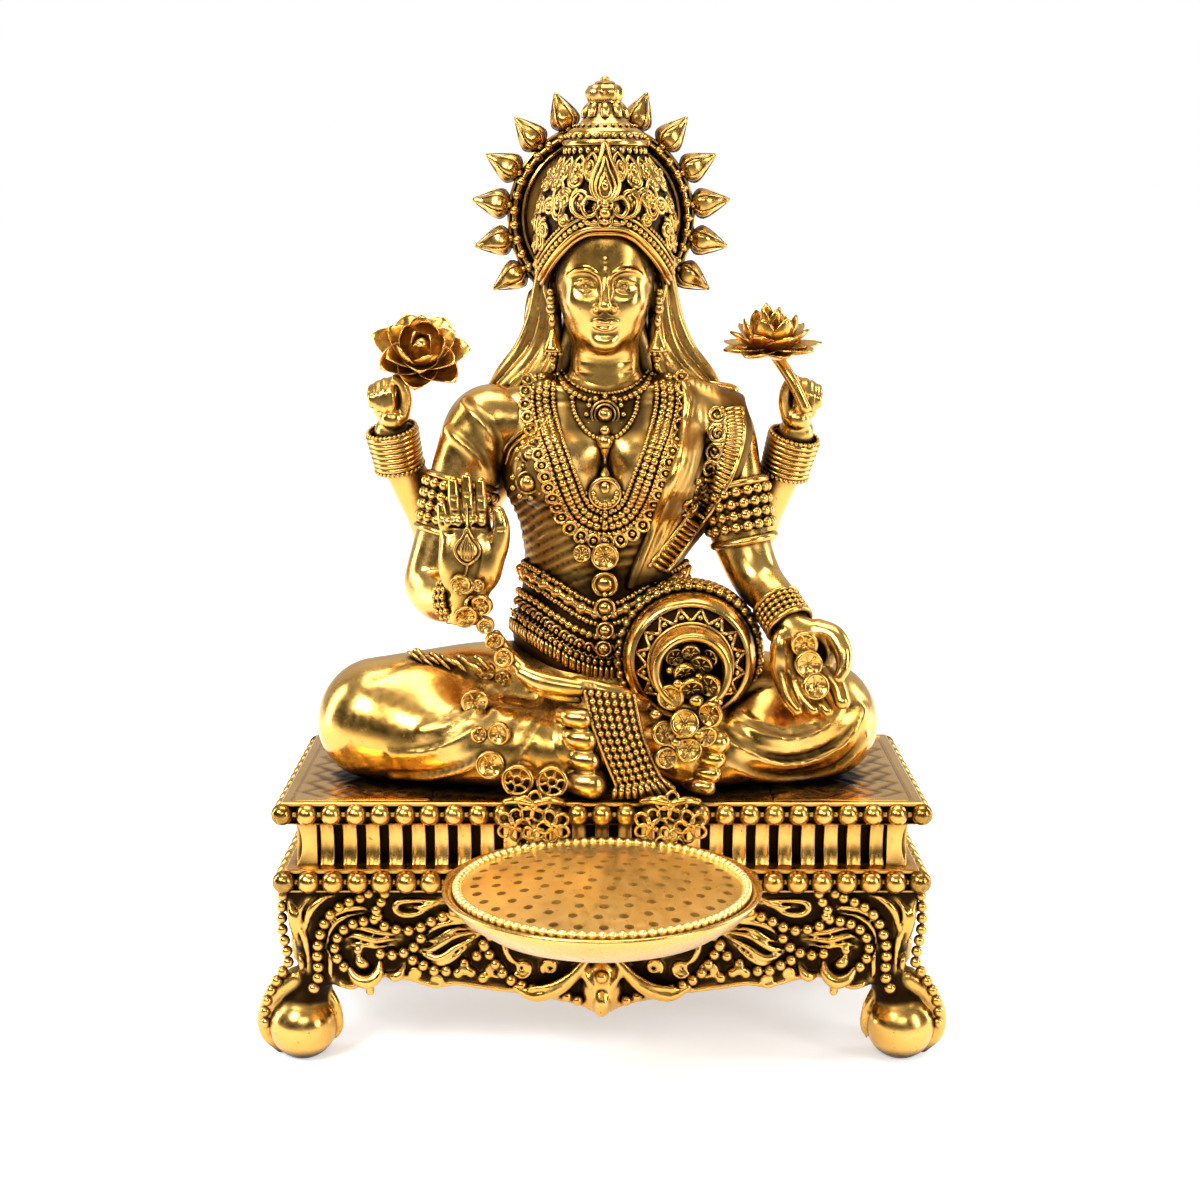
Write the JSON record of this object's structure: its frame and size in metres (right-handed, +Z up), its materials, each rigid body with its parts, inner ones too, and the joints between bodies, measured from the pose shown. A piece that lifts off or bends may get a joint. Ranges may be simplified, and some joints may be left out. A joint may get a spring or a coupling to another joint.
{
  "type": "seated lakshmi figure on a footed plinth with an incense dish",
  "caption": "Cast brass seated four-armed lakshmi figure on a ribbed plinth with ball feet and a covered incense dish in front.",
  "frame": {"origin": "middle of the whole part's footprint, on the surface it stands on", "axes": "+Z up, -Y towards the viewer whom the figure faces, +X to that viewer's right"},
  "size_m": [0.184, 0.1482, 0.254],
  "materials": {
    "figure_brass": "polished cast brass with dark patina in the hollows",
    "plinth_brass": "polished cast brass with dark patina in the hollows",
    "dish_brass": "worn turned brass",
    "cover_brass": "bright polished pierced brass"
  },
  "bodies": {
    "root": {"figure": "figure_brass", "plinth": "plinth_brass", "incense_dish": "dish_brass", "perforated_cover": "cover_brass"}
  },
  "joints": []
}
